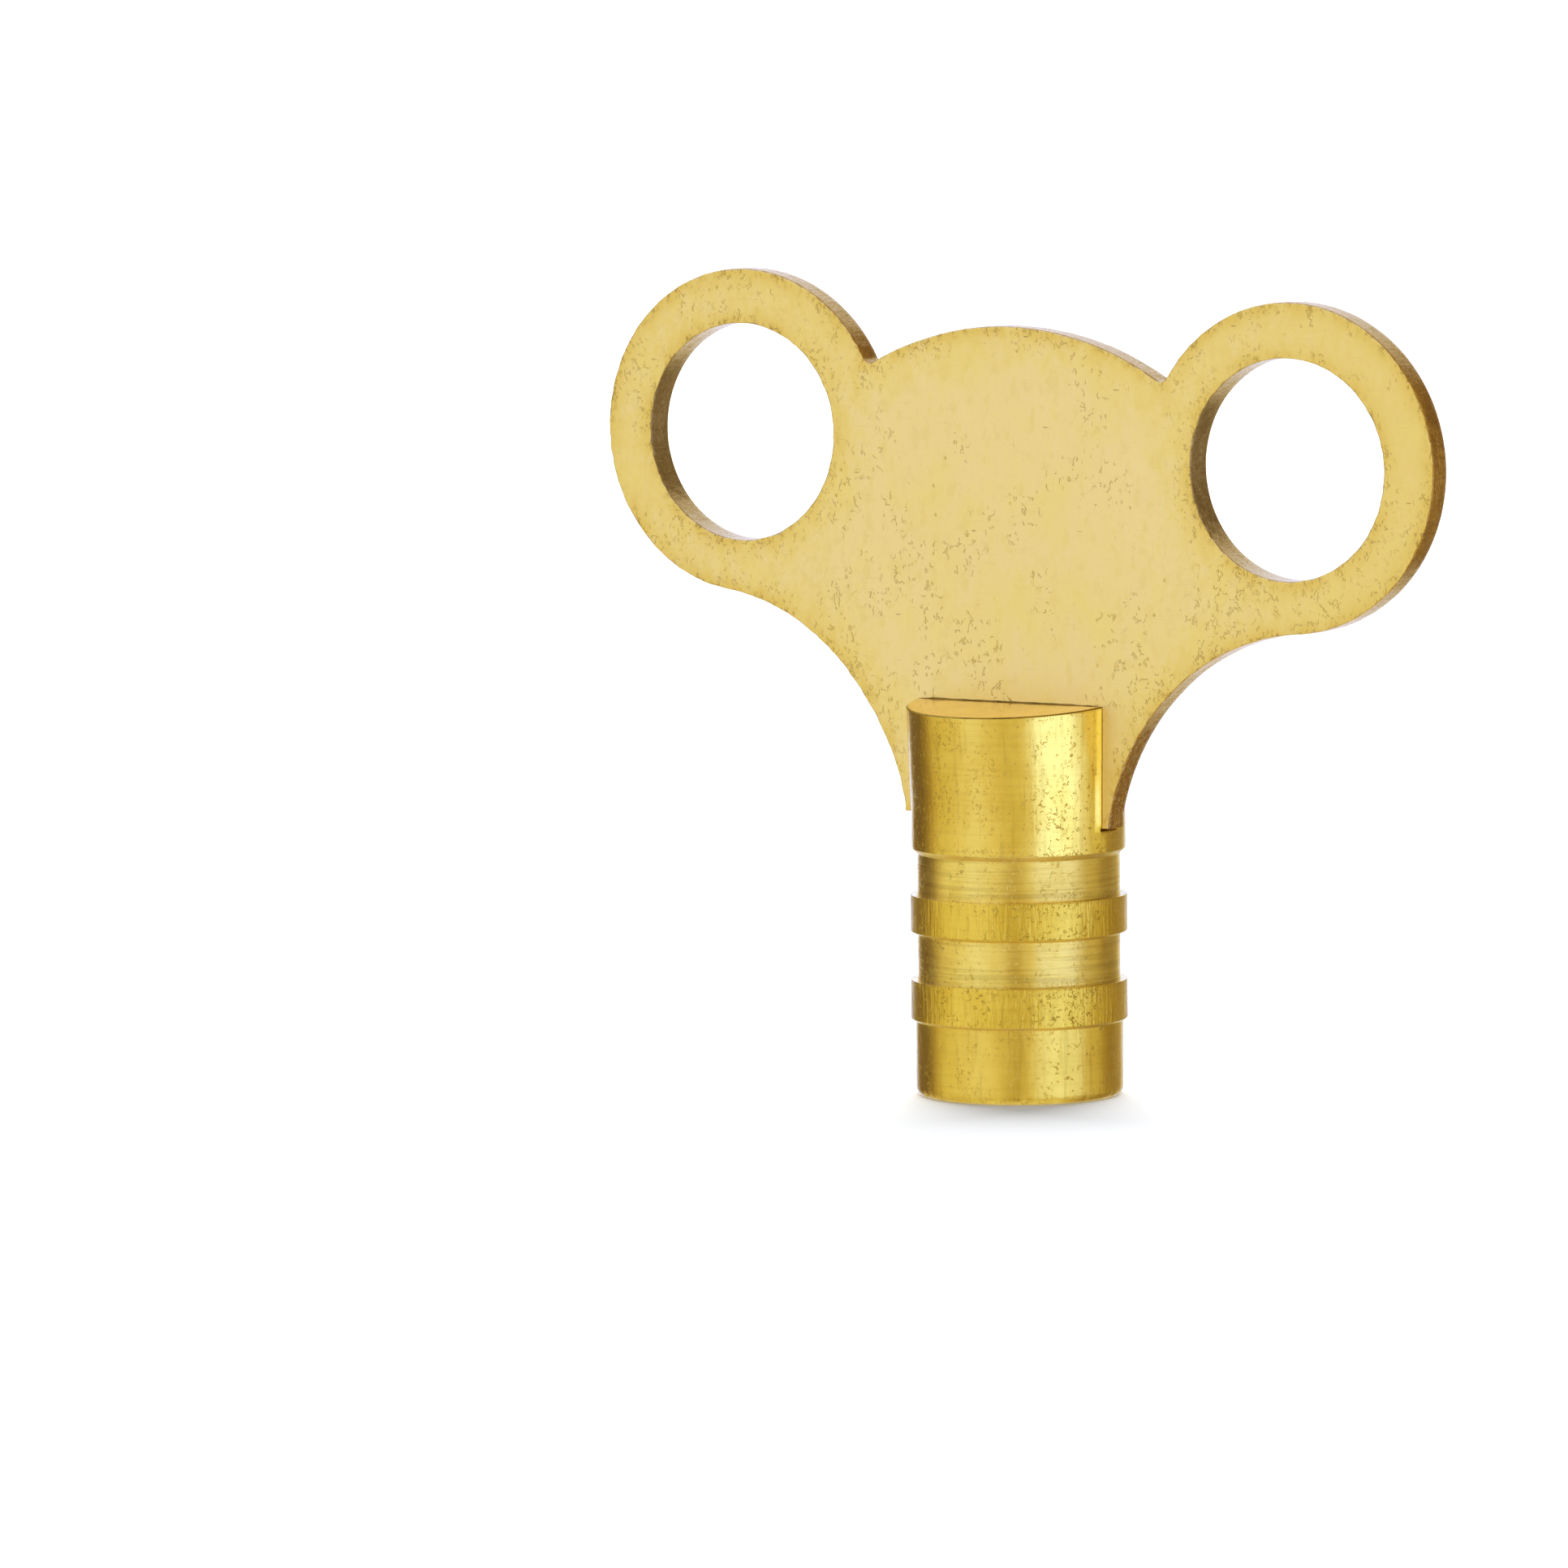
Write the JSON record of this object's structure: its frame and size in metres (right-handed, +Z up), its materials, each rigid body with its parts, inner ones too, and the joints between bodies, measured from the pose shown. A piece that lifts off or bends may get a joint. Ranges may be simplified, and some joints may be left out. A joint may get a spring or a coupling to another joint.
{
  "type": "radiator bleed key",
  "caption": "Brass radiator bleed key: a flat winged grip with round finger holes, pressed into a turned, ribbed barrel that ends in a square socket.",
  "frame": {"origin": "centre of the socket's mouth, on the flat end of the barrel that the key stands on", "axes": "+Z up the barrel from the socket's mouth towards the wings, X along the wings, Y through the wing plate's thickness"},
  "size_m": [0.04, 0.0094, 0.034],
  "materials": {
    "turned_brass": "bright turned",
    "stamped_brass": "satin rolled sheet"
  },
  "bodies": {
    "root": {"barrel": "turned_brass", "wing_plate": "stamped_brass"}
  },
  "joints": []
}
